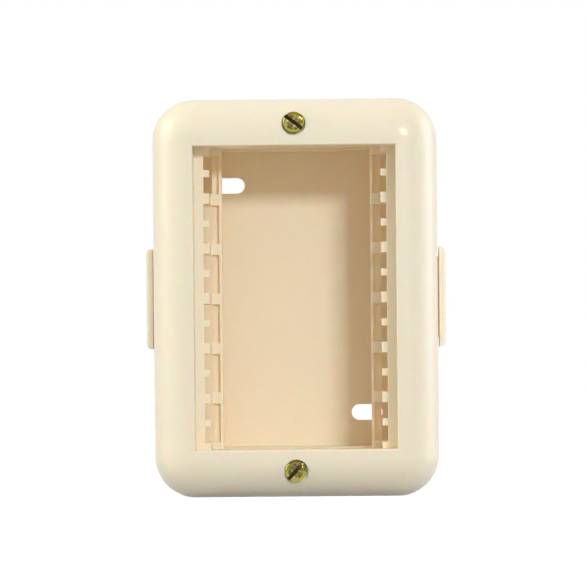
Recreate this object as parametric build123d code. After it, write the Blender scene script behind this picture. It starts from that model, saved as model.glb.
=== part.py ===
from build123d import *
import os

# Surface mount back box for three wiring modules.
# Sizes are in millimetres. Each piece is drawn lying on its back: x across, y up the wall and z out
# from the wall. The pieces are stood upright, facing -Y, when they are written.

# Outside of the closed box
BOX_DEPTH = 43.0
COVER_DEPTH = 12.5
SIDE_BORDER = 9.28
END_BORDER = 10.65
RIM_FLAT = 0.78
CORNER_EASE = 0.7
BACK_EDGE_RADIUS = 0.8
PARTING_EDGE_RADIUS = 0.25

# Walls
SHELL_WALL = 2.0
FRONT_WALL = 2.2
FLOOR = 2.4
COLLAR_WALL = 1.5
CHAMBER_WALL = 2.0
CHAMBER_STEP = 0.23

# Lap joint between the cover's skirt and the tongue on the base's rim
TONGUE_WALL = 0.9
TONGUE_HEIGHT = 2.0
LAP_PLAY = 0.2

# Window, sized by the modules that it takes
MODULE_LENGTH = 45.0
MODULE_WIDTH = 22.5
MODULE_COUNT = 3
SIDE_PLAY = 0.22
END_PLAY = 0.35
WINDOW_EDGE_RADIUS = 0.4
COLLAR_DEPTH = 24.0
COLLAR_GAP = 0.3

# Module rails on the two long sides of the window
LEDGE_DEPTH = 8.0
LEDGE_WIDTH = 2.15
LEDGE_THICKNESS = 1.6
TOOTH_REACH = 1.3
LARGE_TOOTH = 2.4
SMALL_TOOTH = 1.65
STRIP_DEPTH = 20.0
STRIP_WIDTH = 2.25
STRIP_OFFSET = 0.2
LIP_WIDTH = 0.72
POCKET_DEPTH = 1.4
BLOCK_HEIGHT = 2.65
RAIL_EDGE_RADIUS = 0.2

# Cover screws, the bosses and pillars that they join, and the threaded inserts
SCREW_SHARE = 0.46
SCREW_DIAMETER = 2.5
SCREW_LENGTH = 20.0
SCREW_PLAY = 1.0
HEAD_DIAMETER = 4.8
HEAD_HEIGHT = 2.0
HEAD_EDGE_RADIUS = 0.65
HEAD_PLAY = 0.55
SEAT_DEPTH = 1.7
DRIVE_SLOT_WIDTH = 0.8
DRIVE_SLOT_DEPTH = 0.8
TOP_SLOT_ANGLE = -36.0
BOTTOM_SLOT_ANGLE = 48.0
TIP_CHAMFER = 0.4
BOSS_RADIUS = 3.2
PILLAR_PLAY = 0.25
SCREW_END_ROOM = 2.0
INSERT_DIAMETER = 4.2
INSERT_LENGTH = 6.0
INSERT_GROOVE_WIDTH = 1.2
INSERT_GROOVE_DEPTH = 0.3
THREAD_PLAY = 0.1

# Slots in the floor for the wall screws
WALL_SLOT_LENGTH = 7.1
WALL_SLOT_WIDTH = 3.6
WALL_SLOT_X = 15.65
WALL_SLOT_Y = 26.2

# Cable-entry plates and the side cut-outs that they slide into
CUTOUT_WIDTH = 18.6
CUTOUT_SILL = 6.0
CUTOUT_RADIUS = 2.0
PLATE_PLAY = 0.35
PLATE_TOP_GAP = 0.1
FLANGE_OVERLAP = 2.0
FLANGE_THICKNESS = 1.5
FLANGE_EDGE_RADIUS = 1.3
INNER_FLANGE_THICKNESS = 1.2
FLANGE_RELIEF = 1.5
PLATE_WALL = 1.6
KNOCKOUT_DIAMETER = 16.0
KNOCKOUT_GROOVE = 0.8
KNOCKOUT_WEB = 0.7

# Places that follow from the sizes above
PARTING = BOX_DEPTH - COVER_DEPTH
WINDOW_WIDTH = MODULE_LENGTH + 2 * SIDE_PLAY
WINDOW_HEIGHT = MODULE_COUNT * MODULE_WIDTH + 2 * END_PLAY
BOX_WIDTH = WINDOW_WIDTH + 2 * SIDE_BORDER
BOX_HEIGHT = WINDOW_HEIGHT + 2 * END_BORDER
RIM_RADIUS = min(SIDE_BORDER, END_BORDER) - RIM_FLAT
CORNER_RADIUS = RIM_RADIUS + CORNER_EASE
COLLAR_REAR = BOX_DEPTH - COLLAR_DEPTH
LEDGE_FACE = BOX_DEPTH - LEDGE_DEPTH
STRIP_FACE = BOX_DEPTH - STRIP_DEPTH
LEDGE_EDGE = WINDOW_WIDTH / 2 - LEDGE_WIDTH
TOOTH_TIP = LEDGE_EDGE - TOOTH_REACH
STRIP_OUTER = TOOTH_TIP - STRIP_OFFSET
STRIP_INNER = STRIP_OUTER - STRIP_WIDTH
RAIL_ROOT = WINDOW_WIDTH / 2 + COLLAR_WALL / 2
RAIL_LENGTH = WINDOW_HEIGHT + COLLAR_WALL
RAIL_PITCH = MODULE_WIDTH / 2
RIB_COUNT = 2 * MODULE_COUNT + 1
SCREW_SEAT = BOX_DEPTH - SEAT_DEPTH
SCREW_OFFSET = SCREW_SHARE * END_BORDER
SCREW_PLACES = (WINDOW_HEIGHT / 2 + SCREW_OFFSET, -WINDOW_HEIGHT / 2 - SCREW_OFFSET)
CLEARANCE_DIAMETER = SCREW_DIAMETER + SCREW_PLAY
PILLAR_RADIUS = SCREW_OFFSET - COLLAR_WALL - PILLAR_PLAY
INNER_WIDTH = BOX_WIDTH - 2 * SHELL_WALL
INNER_HEIGHT = BOX_HEIGHT - 2 * SHELL_WALL
WALL_OUTSIDE = BOX_WIDTH / 2
WALL_INSIDE = INNER_WIDTH / 2


def rounded_block(inset, low, high):
    """The box's outline, moved in by inset, between two heights."""
    outline = RectangleRounded(BOX_WIDTH - 2 * inset, BOX_HEIGHT - 2 * inset, CORNER_RADIUS - inset)
    return Pos(0, 0, low) * extrude(outline, high - low)


def prism(outline, low, high):
    """A flat outline raised between two heights."""
    return Pos(0, 0, low) * extrude(outline, high - low)


def across(x_low, x_high, height, y=0):
    """A flat rectangle from one x to another, centred on y."""
    return Pos((x_low + x_high) / 2, y) * Rectangle(x_high - x_low, height)


def level_edges(solid, height):
    """The edges of a solid that lie flat at one height."""
    return solid.edges().filter_by_position(Axis.Z, height, height)


def rows(count):
    """The y places of a row of features at the rail pitch, centred on the window."""
    return [(index - (count - 1) / 2) * RAIL_PITCH for index in range(count)]


def rail_comb():
    """The ledge that the modules sit on, with a large tooth at each rib and a small one between ribs."""
    outline = across(LEDGE_EDGE, RAIL_ROOT, RAIL_LENGTH)
    for y in rows(RIB_COUNT):
        outline += across(TOOTH_TIP, RAIL_ROOT, LARGE_TOOTH, y)
    for y in rows(RIB_COUNT - 1):
        outline += across(TOOTH_TIP, RAIL_ROOT, SMALL_TOOTH, y)
    comb = prism(outline, LEDGE_FACE - LEDGE_THICKNESS, LEDGE_FACE)
    return fillet(level_edges(comb, LEDGE_FACE), RAIL_EDGE_RADIUS)


def rail_strip():
    """The deeper strip with a lip along its inner edge, a pocket in each cell and a block at each rib."""
    outline = across(STRIP_INNER, STRIP_OUTER, RAIL_LENGTH)
    for y in rows(RIB_COUNT):
        outline += across(STRIP_INNER, RAIL_ROOT, BLOCK_HEIGHT, y)
    strip = prism(outline, COLLAR_REAR, STRIP_FACE)
    for y in rows(RIB_COUNT - 1):
        pocket = across(STRIP_INNER + LIP_WIDTH, STRIP_OUTER, RAIL_PITCH - BLOCK_HEIGHT, y)
        strip -= prism(pocket, STRIP_FACE - POCKET_DEPTH, STRIP_FACE)
    return fillet(level_edges(strip, STRIP_FACE), RAIL_EDGE_RADIUS)


def rail():
    """The right-hand module rail: comb and strip, tied together by a rib behind each large tooth."""
    solid = rail_comb() + rail_strip()
    for y in rows(RIB_COUNT):
        rib = across(TOOTH_TIP, RAIL_ROOT, LARGE_TOOTH, y)
        solid += prism(rib, COLLAR_REAR, LEDGE_FACE - LEDGE_THICKNESS / 2)
    return solid


def cover_outside():
    """The cover's outer form as a full block, with its rounded rim."""
    outside = rounded_block(0, PARTING, BOX_DEPTH)
    outside = fillet(level_edges(outside, BOX_DEPTH), RIM_RADIUS)
    return fillet(level_edges(outside, PARTING), PARTING_EDGE_RADIUS)


def cover_shell(outside):
    """The outer skin of the cover, with the rebate over the base's tongue."""
    inner_top = BOX_DEPTH - FRONT_WALL
    inside = rounded_block(SHELL_WALL, PARTING, inner_top)
    inside = fillet(level_edges(inside, inner_top), RIM_RADIUS - SHELL_WALL)
    rebate_inset = SHELL_WALL - TONGUE_WALL - LAP_PLAY
    rebate = rounded_block(rebate_inset, PARTING, PARTING + TONGUE_HEIGHT + LAP_PLAY)
    return outside - inside - rebate


def front_cover():
    """The cover as one moulding: shell, window collar, module rails and screw bosses."""
    collar_outside = WINDOW_HEIGHT / 2 + COLLAR_WALL
    collar = Rectangle(WINDOW_WIDTH + 2 * COLLAR_WALL, 2 * collar_outside)
    window = Rectangle(WINDOW_WIDTH, WINDOW_HEIGHT)
    inner_top = BOX_DEPTH - FRONT_WALL
    outside = cover_outside()
    solid = cover_shell(outside) + prism(collar, COLLAR_REAR, inner_top)
    for y in SCREW_PLACES:
        side = 1 if y > 0 else -1
        reach = SCREW_OFFSET - COLLAR_WALL / 2
        boss = Pos(0, y) * Circle(BOSS_RADIUS)
        boss += Pos(0, y - side * reach / 2) * Rectangle(2 * BOSS_RADIUS, reach)
        solid += prism(boss, PARTING, inner_top) & outside
    solid -= prism(window, COLLAR_REAR, BOX_DEPTH)
    front_edges = level_edges(solid, BOX_DEPTH)
    window_edges = front_edges.filter_by(lambda edge: abs(edge.center().X) <= WINDOW_WIDTH / 2)
    window_edges = window_edges.filter_by(lambda edge: abs(edge.center().Y) <= WINDOW_HEIGHT / 2)
    solid = fillet(window_edges, WINDOW_EDGE_RADIUS)
    right_rail = rail()
    solid += right_rail
    solid += mirror(right_rail, about=Plane.YZ)
    for y in SCREW_PLACES:
        solid -= Pos(0, y) * prism(Circle(CLEARANCE_DIAMETER / 2), PARTING, BOX_DEPTH)
        solid -= Pos(0, y) * prism(Circle((HEAD_DIAMETER + HEAD_PLAY) / 2), SCREW_SEAT, BOX_DEPTH)
    return solid


def cutout_outline(play):
    """The side cut-out seen along x, narrowed by a play on each side: local x is y, local y is z."""
    top = PARTING + TONGUE_HEIGHT
    height = top - CUTOUT_SILL
    outline = Pos(0, CUTOUT_SILL + height / 2) * Rectangle(CUTOUT_WIDTH - 2 * play, height)
    return fillet(outline.vertices().sort_by(Axis.Y)[:2], CUTOUT_RADIUS)


def slab(outline, x_low, x_high):
    """An outline seen along x, given its thickness between two x places."""
    return Plane.YZ.offset(x_low) * extrude(outline, x_high - x_low)


def back_box():
    """The base tray: floor, walls with a tongue, screw pillars in their chambers, slots and cut-outs."""
    outside = rounded_block(0, 0, PARTING)
    outside = fillet(level_edges(outside, 0), BACK_EDGE_RADIUS)
    outside = fillet(level_edges(outside, PARTING), PARTING_EDGE_RADIUS)
    outside += rounded_block(SHELL_WALL - TONGUE_WALL, PARTING - TONGUE_HEIGHT, PARTING + TONGUE_HEIGHT)
    hollow = rounded_block(SHELL_WALL, FLOOR, PARTING + TONGUE_HEIGHT)
    solid = outside - hollow
    chamber_top = COLLAR_REAR - COLLAR_GAP
    chamber_middle = WINDOW_HEIGHT / 2 - CHAMBER_STEP + CHAMBER_WALL / 2
    pillar_end = INNER_HEIGHT / 2 + SHELL_WALL / 4
    bore_end = SCREW_SEAT - SCREW_LENGTH - SCREW_END_ROOM
    for y in SCREW_PLACES:
        side = 1 if y > 0 else -1
        chamber = Pos(0, side * chamber_middle) * Rectangle(INNER_WIDTH + SHELL_WALL, CHAMBER_WALL)
        solid += prism(chamber, FLOOR / 2, chamber_top)
        reach = pillar_end - abs(y)
        pillar = Pos(0, y) * Circle(PILLAR_RADIUS)
        pillar += Pos(0, y + side * reach / 2) * Rectangle(2 * PILLAR_RADIUS, reach)
        solid += prism(pillar, FLOOR / 2, PARTING)
        solid -= Pos(0, y) * prism(Circle(INSERT_DIAMETER / 2), PARTING - INSERT_LENGTH, PARTING)
        solid -= Pos(0, y) * prism(Circle(CLEARANCE_DIAMETER / 2), bore_end, PARTING)
    for side in (-1, 1):
        slot = Pos(side * WALL_SLOT_X, -side * WALL_SLOT_Y) * SlotOverall(WALL_SLOT_LENGTH, WALL_SLOT_WIDTH)
        solid -= prism(slot, 0, FLOOR)
    solid -= slab(cutout_outline(0), WALL_INSIDE, WALL_OUTSIDE)
    solid -= slab(cutout_outline(0), -WALL_OUTSIDE, -WALL_INSIDE)
    return solid


def flange_outline():
    """The entry plate's flange seen along x: the cut-out's outline with an overlap on three sides."""
    low = CUTOUT_SILL - FLANGE_OVERLAP
    high = PARTING - PLATE_TOP_GAP
    outline = Pos(0, (low + high) / 2) * Rectangle(CUTOUT_WIDTH + 2 * FLANGE_OVERLAP, high - low)
    return fillet(outline.vertices().sort_by(Axis.Y)[:2], CUTOUT_RADIUS + FLANGE_OVERLAP)


def entry_plate():
    """The right-hand entry plate: two flanges that straddle the wall, a hollow web and a knock-out."""
    outer_low = WALL_OUTSIDE + PLATE_PLAY
    outer_high = outer_low + FLANGE_THICKNESS
    inner_high = WALL_INSIDE - PLATE_PLAY
    inner_low = inner_high - INNER_FLANGE_THICKNESS
    web_top = PARTING - PLATE_TOP_GAP
    flange = slab(flange_outline(), outer_low, outer_high)
    solid = fillet(flange.faces().sort_by(Axis.X)[-1].edges(), FLANGE_EDGE_RADIUS)
    web = slab(cutout_outline(PLATE_PLAY / 2), inner_high, outer_low)
    below_rim = prism(Rectangle(2 * outer_high, BOX_HEIGHT), 0, web_top)
    solid += web & below_rim
    solid += slab(flange_outline(), inner_low, inner_high)
    relief = across(WALL_OUTSIDE, outer_low, CUTOUT_WIDTH)
    solid -= prism(relief, web_top - FLANGE_RELIEF, web_top)
    pocket_height = web_top - CUTOUT_SILL - 2 * PLATE_WALL
    pocket_width = CUTOUT_WIDTH - PLATE_PLAY - 2 * PLATE_WALL
    middle = CUTOUT_SILL + PLATE_WALL + pocket_height / 2
    solid -= slab(Pos(0, middle) * Rectangle(pocket_width, pocket_height), inner_low, outer_low)
    disc = Circle(KNOCKOUT_DIAMETER / 2 + KNOCKOUT_GROOVE) - Circle(KNOCKOUT_DIAMETER / 2)
    solid -= slab(Pos(0, middle) * disc, outer_low + KNOCKOUT_WEB, outer_high)
    return solid


def cover_screw():
    """A slotted cheese-head screw, standing with its head up and its seat at z = 0."""
    head = fillet(level_edges(prism(Circle(HEAD_DIAMETER / 2), 0, HEAD_HEIGHT), HEAD_HEIGHT), HEAD_EDGE_RADIUS)
    shank = prism(Circle(SCREW_DIAMETER / 2), -SCREW_LENGTH, 0)
    shank = chamfer(level_edges(shank, -SCREW_LENGTH), TIP_CHAMFER)
    slot = prism(Rectangle(2 * HEAD_DIAMETER, DRIVE_SLOT_WIDTH), HEAD_HEIGHT - DRIVE_SLOT_DEPTH, HEAD_HEIGHT)
    return head + shank - slot


def threaded_insert():
    """A turned insert with a groove round its middle, its mouth at z = 0."""
    radius = INSERT_DIAMETER / 2
    middle = -INSERT_LENGTH / 2
    half_groove = INSERT_GROOVE_WIDTH / 2
    solid = prism(Circle(radius) - Circle((SCREW_DIAMETER + THREAD_PLAY) / 2), -INSERT_LENGTH, 0)
    groove = Circle(radius) - Circle(radius - INSERT_GROOVE_DEPTH)
    return solid - prism(groove, middle - half_groove, middle + half_groove)


def at_screws(solid, height, angles):
    """A copy of a solid at each screw place, turned about the screw's axis."""
    placed = [Pos(0, y, height) * Rot(0, 0, angle) * solid for y, angle in zip(SCREW_PLACES, angles)]
    return Compound(placed)


right_plate = entry_plate()
nodes = {
    "back_box": back_box(),
    "front_cover": front_cover(),
    "entry_plate_right": right_plate,
    "entry_plate_left": mirror(right_plate, about=Plane.YZ),
    "cover_screws": at_screws(cover_screw(), SCREW_SEAT, (TOP_SLOT_ANGLE, BOTTOM_SLOT_ANGLE)),
    "threaded_inserts": at_screws(threaded_insert(), PARTING, (0, 0)),
}

os.makedirs("parts", exist_ok=True)
for name, shape in nodes.items():
    export_step(Plane.XZ * shape, f"parts/{name}.step")
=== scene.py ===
import math

import bmesh
import bpy
from mathutils import Matrix, Quaternion, Vector


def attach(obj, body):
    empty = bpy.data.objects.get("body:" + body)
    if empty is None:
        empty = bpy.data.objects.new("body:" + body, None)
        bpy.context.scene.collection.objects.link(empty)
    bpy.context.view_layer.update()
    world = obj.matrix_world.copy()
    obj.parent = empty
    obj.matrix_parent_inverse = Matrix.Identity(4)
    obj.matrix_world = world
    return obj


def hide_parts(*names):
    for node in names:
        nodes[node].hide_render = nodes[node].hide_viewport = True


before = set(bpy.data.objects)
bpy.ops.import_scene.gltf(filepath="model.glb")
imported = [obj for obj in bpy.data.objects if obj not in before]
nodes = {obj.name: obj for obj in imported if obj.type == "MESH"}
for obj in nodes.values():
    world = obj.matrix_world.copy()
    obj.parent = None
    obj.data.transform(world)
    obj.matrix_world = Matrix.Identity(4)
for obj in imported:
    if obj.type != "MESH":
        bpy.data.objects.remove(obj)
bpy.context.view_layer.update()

# Surface mount back box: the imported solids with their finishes, the two cover screws in more
# detail, and a white studio. Sizes of the object are in millimetres, lamps and floor in metres.
# The scales of textures are per metre, and their heights in metres.
MM = 0.001

# The box's front plane and its lowest edge
FRONT = -43.0
BOTTOM = -44.75

# The cover screws: where their heads sit, where their inserts hold them, and for each one its
# height on the box, the angle of its slot in degrees, and how far its head is off centre in x and z
SCREW_SEAT = -41.345
SCREW_HOLD = -27.5
SCREWS = {
    "cover_screw_top": (39.0, -37.0, (-0.01, 0.235)),
    "cover_screw_bottom": (-39.0, 48.5, (-0.205, 0.115)),
}

# Shank and thread, with heights measured from the seat of the head
SHANK_RADIUS = 1.25
SHANK_LENGTH = 20.0
SHANK_SIDES = 28
NECK_PROFILE = [
    (0, -0.25),
    (SHANK_RADIUS, -0.25),
    (SHANK_RADIUS, -0.85),
    (SHANK_RADIUS - 0.05, -0.95),
    (0, -0.95),
]
THREAD_START = -0.9
THREAD_PITCH = 0.45
THREAD_DEPTH = 0.24
THREAD_PLAY = 0.02
ROWS_PER_TURN = 6
RUN_OUT_ROWS = 8
TIP_CHAMFER = 0.3

# Head: its rounded edge, and inside that a groove and a face that is dished a little
HEAD_RADIUS = 2.4
HEAD_HEIGHT = 1.9
HEAD_FOOT = 0.3
HEAD_CHAMFER = 0.06
HEAD_EDGE = 0.65
HEAD_SIDES = 96
EDGE_STEPS = 8
FACE_RADIUS = HEAD_RADIUS - HEAD_EDGE
GROOVE_DEPTH = 0.05
GROOVE_OUTER = 0.04
GROOVE_INNER = 0.12
DISH_EDGE = 0.16
DISH_EDGE_DEPTH = 0.01
DISH_FLAT = 0.6
DISH_DEPTH = 0.02
SLOT_WIDTH = 0.8
SLOT_DEPTH = 0.8
SLOT_BEVEL = 0.05
SLOT_BEVEL_SEGMENTS = 2
SLOT_BEVEL_ANGLE = 40
CRISP_ANGLE = 35

# Ivory plastic: one colour with faint clouds, and a gloss for each moulding
IVORY_TONES = [(0.35, (0.974, 0.874, 0.675)), (0.65, (0.978, 0.880, 0.685))]
IVORY_CLOUDS = 30.0
IVORY_GLOSS_PATCHES = 420.0
IVORY_GLOSS_SPREAD = 0.01
IVORY_IOR = 1.5
IVORY_SCATTER = (1.0, 0.6, 0.35)
IVORY_SCATTER_DEPTH = 0.0005
IVORY_GRAIN = 1800.0
IVORY_GRAIN_HEIGHT = 3.0e-7
COVER_ROUGHNESS = 0.31
BASE_ROUGHNESS = 0.38
PLATE_ROUGHNESS = 0.36

# Passivated steel: patches on the head's face, painted darker than the rim as shade for the dark
# front it mirrors, a clean rim, and painted shade in the slot
# The face's patches are the coat's own colour. All of them sit darker than the rim's tones, as
# painted shade for the dark front that the flat face mirrors
FACE_TONES_AND_SHADE = [
    (0.34, (0.07, 0.042, 0.045)),
    (0.44, (0.13, 0.105, 0.035)),
    (0.54, (0.19, 0.18, 0.035)),
    (0.66, (0.46, 0.41, 0.27)),
]
FACE_PATCHES = 1300.0
FACE_GRAIN = 1500.0
FACE_GRAIN_RANGE = (0.3, 0.7)
FACE_ROUGHNESS = (0.34, 0.46)
RIM_TONES = [(0.35, (0.38, 0.30, 0.035)), (0.65, (0.30, 0.31, 0.025))]
RIM_PATCHES = 500.0
RIM_BLEND = 0.08
RIM_ROUGHNESS = 0.12
# Painted shade: the slot is coloured near black for the shade that falls inside it
SLOT_SHADE_TONE = (0.035, 0.026, 0.008)
SLOT_SHADE_BLEND_INNER = 0.01
SLOT_SHADE_BLEND_OUTER = 0.04
COAT_WEIGHT = 0.4
COAT_ROUGHNESS = 0.12
TURNED_RINGS = 1600.0
TURNED_RING_WAVER = 0.6
TURNED_RING_HEIGHT = 1.5e-6

# Brass of the inserts
BRASS_TONES = [(0.3, (0.50, 0.34, 0.12)), (0.7, (0.66, 0.48, 0.20))]
BRASS_PATCHES = 700.0
BRASS_ROUGHNESS = 0.32
LATHE_MARKS = 900.0
LATHE_MARK_HEIGHT = 6.0e-6

# Studio: its brightness towards each side, as seen by the object, and how sharply sides part
SKY = {
    "front": ((0, -1, 0), (0.69, 0.63, 0.66)),
    "back": ((0, 1, 0), (0.4, 0.4, 0.4)),
    "top": ((0, 0, 1), (0.66, 0.585, 0.54)),
}
SKY_POWER = 2.0
BACKDROP_EDGE = 0.3

# Each lamp's direction from the front, distance, width, height, power in watts and colour
LAMPS = {
    "key": ((0.3275, -1.0, 0.295), 2.4, 0.368, 0.213, 22.6, (0.94, 0.92, 1)),
    "left_panel": ((-0.907, -0.11, 0.405), 1.0, 0.65, 0.8, 6.4, (1, 0.95, 0.915)),
    "right_panel": ((0.956, 0.163, 0.239), 1.0, 0.65, 0.8, 5.5, (0.95, 0.93, 1)),
}

# Floor: its reach from the middle, its tone as a reflector, and its glow and tone in view
FLOOR_REACH = 3.0
FLOOR_TONE = 0.43
FLOOR_GLOW = 0.8
FLOOR_PALE = 0.5

# The photograph's camera: far, a little right of and below the middle, with a roll in degrees
CAMERA_PLACE = (24.0, FRONT - 1350.0, -11.0)
CAMERA_AIM = (-0.33, FRONT, 0.89)
CAMERA_LENS = 370.0
CAMERA_SENSOR = 36.0
CAMERA_ROLL = -0.52

MAX_BOUNCES = 24
DIFFUSE_BOUNCES = 16

# Places of the colour sockets on a mix node
MIX_FIRST, MIX_SECOND, MIX_RESULT = 6, 7, 2


# Shader nodes

def feed(tree, node, inputs):
    """Sets inputs of a node to plain values, or links them to outputs of other nodes."""
    for key, value in inputs.items():
        socket = node.inputs[key]
        if isinstance(value, bpy.types.NodeSocket):
            tree.links.new(value, socket)
        elif socket.type == "RGBA":
            socket.default_value = (*value, 1.0)
        else:
            socket.default_value = value


def add_node(tree, kind, inputs=None, **settings):
    """A new node with its settings and inputs."""
    node = tree.nodes.new(kind)
    for name, value in settings.items():
        setattr(node, name, value)
    feed(tree, node, inputs or {})
    return node


def cleared(data):
    """The empty node tree of a material or world."""
    data.use_nodes = True
    data.node_tree.nodes.clear()
    return data.node_tree


def principled(name):
    """A new material, its node tree and its one principled shader."""
    made = bpy.data.materials.new(name)
    tree = cleared(made)
    shader = add_node(tree, "ShaderNodeBsdfPrincipled")
    add_node(tree, "ShaderNodeOutputMaterial", {"Surface": shader.outputs["BSDF"]})
    return made, tree, shader


def grey(level):
    """A neutral colour."""
    return (level, level, level)


def coordinates(tree, kind="Object"):
    """The place of a point in its object, or with Generated a direction in the world."""
    return add_node(tree, "ShaderNodeTexCoord").outputs[kind]


def along(tree, place, axis):
    """How far a place or direction reaches along one axis."""
    return add_node(tree, "ShaderNodeSeparateXYZ", {0: place}).outputs[axis]


def from_axis(tree):
    """The distance of a point from its object's own z axis, in metres."""
    inputs = {0: coordinates(tree), 1: (1, 1, 0)}
    flat = add_node(tree, "ShaderNodeVectorMath", inputs, operation="MULTIPLY")
    length = add_node(tree, "ShaderNodeVectorMath", {0: flat.outputs[0]}, operation="LENGTH")
    return length.outputs["Value"]


def arithmetic(tree, operation, first, second=0.0):
    """One arithmetic step on a value and a second value or number."""
    node = add_node(tree, "ShaderNodeMath", {0: first, 1: second}, operation=operation)
    return node.outputs[0]


def remap(tree, value, source=(0.0, 1.0), target=(0.0, 1.0)):
    """A value carried from one range to another, and held at its ends."""
    inputs = {
        "Value": value,
        "From Min": source[0],
        "From Max": source[1],
        "To Min": target[0],
        "To Max": target[1],
    }
    return add_node(tree, "ShaderNodeMapRange", inputs).outputs["Result"]


def noise(tree, scale, detail=2.0):
    """A noise texture on the object."""
    inputs = {"Vector": coordinates(tree), "Scale": scale, "Detail": detail}
    return add_node(tree, "ShaderNodeTexNoise", inputs).outputs["Fac"]


def wave(tree, scale, distortion=0.0, **pattern):
    """A wave texture on the object."""
    inputs = {"Vector": coordinates(tree), "Scale": scale, "Distortion": distortion}
    return add_node(tree, "ShaderNodeTexWave", inputs, **pattern).outputs["Fac"]


def ramp(tree, value, stops):
    """A colour ramp over a value, from pairs of place and colour."""
    node = add_node(tree, "ShaderNodeValToRGB", {"Fac": value})
    band = node.color_ramp.elements
    while len(band) < len(stops):
        band.new(0.5)
    for element, (place, colour) in zip(band, stops):
        element.position = place
        element.color = (*colour, 1.0)
    return node.outputs["Color"]


def blend(tree, amount, first, second):
    """Two colours mixed by an amount."""
    inputs = {"Factor": amount, MIX_FIRST: first, MIX_SECOND: second}
    return add_node(tree, "ShaderNodeMix", inputs, data_type="RGBA").outputs[MIX_RESULT]


def mixed(tree, amount, first, second):
    """Two shaders mixed by an amount."""
    return add_node(tree, "ShaderNodeMixShader", {"Fac": amount, 1: first, 2: second}).outputs[0]


def relief(tree, height, distance):
    """The normal of fine relief from a height value, with its depth in metres."""
    inputs = {"Height": height, "Distance": distance}
    return add_node(tree, "ShaderNodeBump", inputs).outputs["Normal"]


# Finishes

def ivory(name, roughness):
    """Moulded ivory plastic: faint clouds, a soft uneven gloss, and light that sinks in."""
    made, tree, shader = principled(name)
    gloss = (roughness - IVORY_GLOSS_SPREAD, roughness + IVORY_GLOSS_SPREAD)
    feed(tree, shader, {
        "Base Color": ramp(tree, noise(tree, IVORY_CLOUDS, detail=1.0), IVORY_TONES),
        "Roughness": remap(tree, noise(tree, IVORY_GLOSS_PATCHES), target=gloss),
        "IOR": IVORY_IOR,
        "Subsurface Weight": 1.0,
        "Subsurface Radius": IVORY_SCATTER,
        "Subsurface Scale": IVORY_SCATTER_DEPTH,
        "Normal": relief(tree, noise(tree, IVORY_GRAIN, detail=1.0), IVORY_GRAIN_HEIGHT),
    })
    return made


def passivated():
    """Steel with a yellow coat: a dull patchy face painted darker than the rim as shade, a clean
    bright rim, and a drive slot painted near black as its shade.
    """
    made, tree, shader = principled("passivated_steel")
    rim_start = ((FACE_RADIUS - RIM_BLEND) * MM, FACE_RADIUS * MM)
    on_rim = remap(tree, from_axis(tree), rim_start)
    # A strip across the head where the slot is, coloured with painted shade and left without the
    # coat
    half_slot = SLOT_WIDTH / 2
    slot_shade_edge = ((half_slot - SLOT_SHADE_BLEND_INNER) * MM, (half_slot + SLOT_SHADE_BLEND_OUTER) * MM)
    from_slot = arithmetic(tree, "ABSOLUTE", along(tree, coordinates(tree), "Y"))
    beside_slot_shade = remap(tree, from_slot, slot_shade_edge)
    # Face colour: the coat's patches, with painted shade that keeps them darker than the rim
    face = ramp(tree, noise(tree, FACE_PATCHES), FACE_TONES_AND_SHADE)
    rim = ramp(tree, noise(tree, RIM_PATCHES), RIM_TONES)
    dull = remap(tree, noise(tree, FACE_GRAIN), FACE_GRAIN_RANGE, FACE_ROUGHNESS)
    rings = wave(
        tree, TURNED_RINGS, TURNED_RING_WAVER, wave_type="RINGS", rings_direction="Z"
    )
    feed(tree, shader, {
        "Base Color": blend(tree, beside_slot_shade, SLOT_SHADE_TONE, blend(tree, on_rim, face, rim)),
        "Metallic": 1.0,
        "Roughness": blend(tree, on_rim, dull, grey(RIM_ROUGHNESS)),
        "Coat Weight": remap(tree, beside_slot_shade, target=(0.0, COAT_WEIGHT)),
        "Coat Roughness": COAT_ROUGHNESS,
        "Normal": relief(tree, rings, TURNED_RING_HEIGHT),
    })
    return made


def brass():
    """Turned brass with fine lathe marks along its length."""
    made, tree, shader = principled("insert_brass")
    marks = wave(tree, LATHE_MARKS, bands_direction="Y")
    feed(tree, shader, {
        "Base Color": ramp(tree, noise(tree, BRASS_PATCHES), BRASS_TONES),
        "Metallic": 1.0,
        "Roughness": BRASS_ROUGHNESS,
        "Normal": relief(tree, marks, LATHE_MARK_HEIGHT),
    })
    return made


# Meshes and objects

def metres(place):
    """A place in millimetres as a vector in metres."""
    return Vector([value * MM for value in place])


def mesh_from(work, name):
    """A new mesh from a bmesh, which is freed."""
    mesh = bpy.data.meshes.new(name)
    work.to_mesh(mesh)
    work.free()
    return mesh


def linked(name, data):
    """A new object in the scene for a mesh, lamp or camera."""
    made = bpy.data.objects.new(name, data)
    bpy.context.scene.collection.objects.link(made)
    return made


def dress(mesh, finish):
    """Gives a mesh one material."""
    mesh.materials.clear()
    mesh.materials.append(finish)


def smooth_by_angle(mesh, degrees):
    """Smooth faces, with edges sharper than an angle left crisp."""
    work = bmesh.new()
    work.from_mesh(mesh)
    limit = math.radians(degrees)
    for face in work.faces:
        face.smooth = True
    for edge in work.edges:
        edge.smooth = len(edge.link_faces) == 2 and edge.calc_face_angle() < limit
    work.to_mesh(mesh)
    work.free()


def spun_vertex(work, radius, angle, height):
    """A new vertex at an angle about z, from a radius and height in millimetres."""
    radius, height = radius * MM, height * MM
    return work.verts.new((radius * math.cos(angle), radius * math.sin(angle), height))


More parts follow.
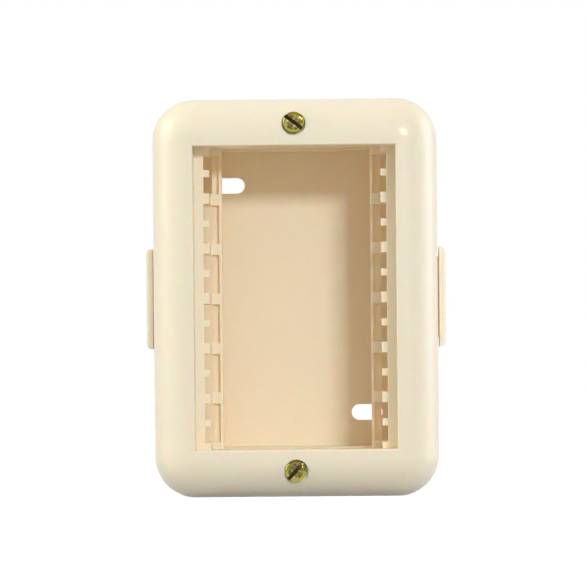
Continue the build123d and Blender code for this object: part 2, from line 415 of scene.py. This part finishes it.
def skin(work, rings):
    """Closes a form by faces between rings of vertices. A ring of one vertex closes an end."""
    for first, second in zip(rings, rings[1:]):
        steps = max(len(first), len(second))
        for index in range(steps):
            following = (index + 1) % steps
            corners = [
                first[index % len(first)],
                first[following % len(first)],
                second[following % len(second)],
                second[index % len(second)],
            ]
            work.faces.new(list(dict.fromkeys(corners)))
    bmesh.ops.recalc_face_normals(work, faces=work.faces)


def turned(work, profile, steps):
    """Turns a list of radius and height pairs about z. Ends of radius 0 close the form."""
    rings = []
    for radius, height in profile:
        sides = steps if radius else 1
        angles = [2 * math.pi * index / sides for index in range(sides)]
        rings.append([spun_vertex(work, radius, angle, height) for angle in angles])
    skin(work, rings)


# Cover screws

def head_profile():
    """The head from its foot in the shank to the middle of its face, as radius and height."""
    points = [
        (0, -HEAD_FOOT),
        (SHANK_RADIUS, -HEAD_FOOT),
        (SHANK_RADIUS, 0),
        (HEAD_RADIUS - HEAD_CHAMFER, 0),
        (HEAD_RADIUS, HEAD_CHAMFER),
    ]
    for index in range(EDGE_STEPS + 1):
        angle = math.radians(90 * index / EDGE_STEPS)
        radius = FACE_RADIUS + HEAD_EDGE * math.cos(angle)
        points.append((radius, HEAD_HEIGHT - HEAD_EDGE + HEAD_EDGE * math.sin(angle)))
    return points + [
        (FACE_RADIUS - GROOVE_OUTER, HEAD_HEIGHT - GROOVE_DEPTH),
        (FACE_RADIUS - GROOVE_INNER, HEAD_HEIGHT - GROOVE_DEPTH),
        (FACE_RADIUS - DISH_EDGE, HEAD_HEIGHT - DISH_EDGE_DEPTH),
        (DISH_FLAT, HEAD_HEIGHT - DISH_DEPTH),
        (0, HEAD_HEIGHT - DISH_DEPTH),
    ]


def cut_slot(head):
    """Cuts the screwdriver slot across a head, by a block centred on the top of the head."""
    work = bmesh.new()
    bmesh.ops.create_cube(work, size=1.0)
    size = Matrix.Diagonal((4 * HEAD_RADIUS * MM, SLOT_WIDTH * MM, 2 * SLOT_DEPTH * MM, 1))
    place = Matrix.Translation((0, 0, HEAD_HEIGHT * MM))
    bmesh.ops.transform(work, matrix=place @ size, verts=work.verts)
    knife = linked("slot_knife", mesh_from(work, "slot_knife"))
    cut = head.modifiers.new("slot", "BOOLEAN")
    cut.object = knife
    cut.operation = "DIFFERENCE"
    cut.solver = "EXACT"
    edge = head.modifiers.new("edge", "BEVEL")
    edge.width = SLOT_BEVEL * MM
    edge.segments = SLOT_BEVEL_SEGMENTS
    edge.limit_method = "ANGLE"
    edge.angle_limit = math.radians(SLOT_BEVEL_ANGLE)
    evaluated = head.evaluated_get(bpy.context.evaluated_depsgraph_get())
    result = bpy.data.meshes.new_from_object(evaluated)
    head.modifiers.clear()
    head.data = result
    bpy.data.objects.remove(knife)


def threaded_shank(work):
    """A shank with a screw thread that runs out at both ends, as one closed tube."""
    row_count = int((SHANK_LENGTH + THREAD_START) / THREAD_PITCH * ROWS_PER_TURN)
    rings = [[spun_vertex(work, 0, 0, THREAD_START)]]
    for row in range(row_count + 1):
        height = THREAD_START - row * THREAD_PITCH / ROWS_PER_TURN
        fade = min(1.0, row / RUN_OUT_ROWS, (row_count - row) / RUN_OUT_ROWS)
        crest = SHANK_RADIUS - THREAD_PLAY
        if row == row_count:
            crest -= TIP_CHAMFER
        ring = []
        for index in range(SHANK_SIDES):
            turn = index / SHANK_SIDES
            phase = (height / THREAD_PITCH - turn) % 1.0
            depth = THREAD_DEPTH * fade * abs(2 * phase - 1)
            ring.append(spun_vertex(work, crest - depth, 2 * math.pi * turn, height))
        rings.append(ring)
    rings.append([spun_vertex(work, 0, 0, -SHANK_LENGTH)])
    skin(work, rings)


def cover_screw(name, finish, z, slot_angle, shift):
    """One cover screw, leaning in its insert so that its head is off centre by a shift."""
    work = bmesh.new()
    turned(work, head_profile(), HEAD_SIDES)
    screw = linked(name, mesh_from(work, name))
    cut_slot(screw)
    work = bmesh.new()
    work.from_mesh(screw.data)
    turned(work, NECK_PROFILE, SHANK_SIDES)
    threaded_shank(work)
    work.to_mesh(screw.data)
    work.free()
    smooth_by_angle(screw.data, CRISP_ANGLE)
    dress(screw.data, finish)
    lever = SCREW_SEAT - SCREW_HOLD
    lean = Vector((0, lever, 0)).rotation_difference(Vector((shift[0], lever, shift[1])))
    held = Matrix.Translation(metres((0, SCREW_HOLD, z)))
    seat = Matrix.Translation(metres((0, lever, 0)))
    upright = Matrix.Rotation(math.radians(90), 4, "X")
    turn = Matrix.Rotation(math.radians(slot_angle), 4, "Z")
    screw.matrix_world = held @ lean.to_matrix().to_4x4() @ seat @ upright @ turn
    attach(screw, "root")
    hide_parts("cover_screws")


# Studio

def in_view(tree, mirrored=1.0):
    """1 for what the camera sees straight, through something clear or mirrored, and otherwise 0.

    The value for mirrored views is a share of them that counts.
    """
    path = add_node(tree, "ShaderNodeLightPath").outputs
    straight = arithmetic(tree, "MAXIMUM", path["Is Camera Ray"], path["Is Transmission Ray"])
    glossy = arithmetic(tree, "MULTIPLY", path["Is Glossy Ray"], mirrored)
    return arithmetic(tree, "MAXIMUM", straight, glossy)


def white_floor():
    """A pale floor that the camera sees as white, with the object's shadow kept."""
    work = bmesh.new()
    bmesh.ops.create_grid(work, x_segments=1, y_segments=1, size=FLOOR_REACH)
    floor = linked("floor", mesh_from(work, "floor"))
    made = bpy.data.materials.new("floor")
    tree = cleared(made)
    glow = add_node(tree, "ShaderNodeEmission", {"Strength": FLOOR_GLOW})
    pale = add_node(tree, "ShaderNodeBsdfDiffuse", {"Color": grey(FLOOR_PALE)})
    bright = add_node(tree, "ShaderNodeAddShader", {0: glow.outputs[0], 1: pale.outputs[0]})
    plain = add_node(tree, "ShaderNodeBsdfDiffuse", {"Color": grey(FLOOR_TONE)})
    shade = mixed(tree, in_view(tree), plain.outputs[0], bright.outputs[0])
    add_node(tree, "ShaderNodeOutputMaterial", {"Surface": shade})
    dress(floor.data, made)
    floor.location = metres((0, 0, BOTTOM))


def sky_colour(tree):
    """The studio's tones, blended by how far a direction points to each side."""
    direction = coordinates(tree, "Generated")
    total = (0, 0, 0)
    for side, tone in SKY.values():
        inputs = {0: direction, 1: side}
        facing = add_node(tree, "ShaderNodeVectorMath", inputs, operation="DOT_PRODUCT")
        ahead = arithmetic(tree, "MAXIMUM", facing.outputs["Value"], 0.0)
        inputs = {0: tone, "Scale": arithmetic(tree, "POWER", ahead, SKY_POWER)}
        part = add_node(tree, "ShaderNodeVectorMath", inputs, operation="SCALE")
        inputs = {0: total, 1: part.outputs[0]}
        total = add_node(tree, "ShaderNodeVectorMath", inputs, operation="ADD").outputs[0]
    return total


def behind(tree):
    """1 for directions to the backdrop behind the object, and 0 for those to its front."""
    return remap(tree, along(tree, coordinates(tree, "Generated"), "Y"), (0.0, BACKDROP_EDGE))


def white_world():
    """A white backdrop to the camera and in mirrored views, and the studio's tones otherwise."""
    world = bpy.data.worlds.new("studio")
    bpy.context.scene.world = world
    tree = cleared(world)
    white = add_node(tree, "ShaderNodeBackground", {"Color": grey(1.0)})
    studio = add_node(tree, "ShaderNodeBackground", {"Color": sky_colour(tree)})
    shade = mixed(tree, in_view(tree, behind(tree)), studio.outputs[0], white.outputs[0])
    add_node(tree, "ShaderNodeOutputWorld", {"Surface": shade})


def softbox(name, direction, distance, width, height, power, colour):
    """A rectangular lamp in a direction from the middle of the front, turned to face it."""
    data = bpy.data.lights.new(name, "AREA")
    data.shape = "RECTANGLE"
    data.size = width
    data.size_y = height
    data.energy = power
    data.color = colour
    lamp = linked(name, data)
    away = Vector(direction).normalized()
    lamp.location = metres((0, FRONT, 0)) + away * distance
    lamp.rotation_euler = (-away).to_track_quat("-Z", "Y").to_euler()
    lamp.visible_camera = False


def photo_camera():
    """The photograph's camera."""
    data = bpy.data.cameras.new("camera")
    data.sensor_width = CAMERA_SENSOR
    data.lens = CAMERA_LENS
    camera = linked("camera", data)
    camera.location = metres(CAMERA_PLACE)
    look = (metres(CAMERA_AIM) - camera.location).to_track_quat("-Z", "Y")
    roll = Quaternion((0, 0, 1), math.radians(CAMERA_ROLL))
    camera.rotation_euler = (look @ roll).to_euler()
    bpy.context.scene.camera = camera


steel = passivated()
plate = ivory("ivory_plate", PLATE_ROUGHNESS)
finishes = {
    "front_cover": ivory("ivory_cover", COVER_ROUGHNESS),
    "back_box": ivory("ivory_base", BASE_ROUGHNESS),
    "entry_plate_left": plate,
    "entry_plate_right": plate,
    "cover_screws": steel,
    "threaded_inserts": brass(),
}
for name, finish in finishes.items():
    dress(nodes[name].data, finish)
for name, settings in SCREWS.items():
    cover_screw(name, steel, *settings)

white_floor()
white_world()
for name, settings in LAMPS.items():
    softbox(name, *settings)
photo_camera()
bpy.context.scene.cycles.max_bounces = MAX_BOUNCES
bpy.context.scene.cycles.diffuse_bounces = DIFFUSE_BOUNCES
bpy.context.scene.view_settings.view_transform = "Standard"
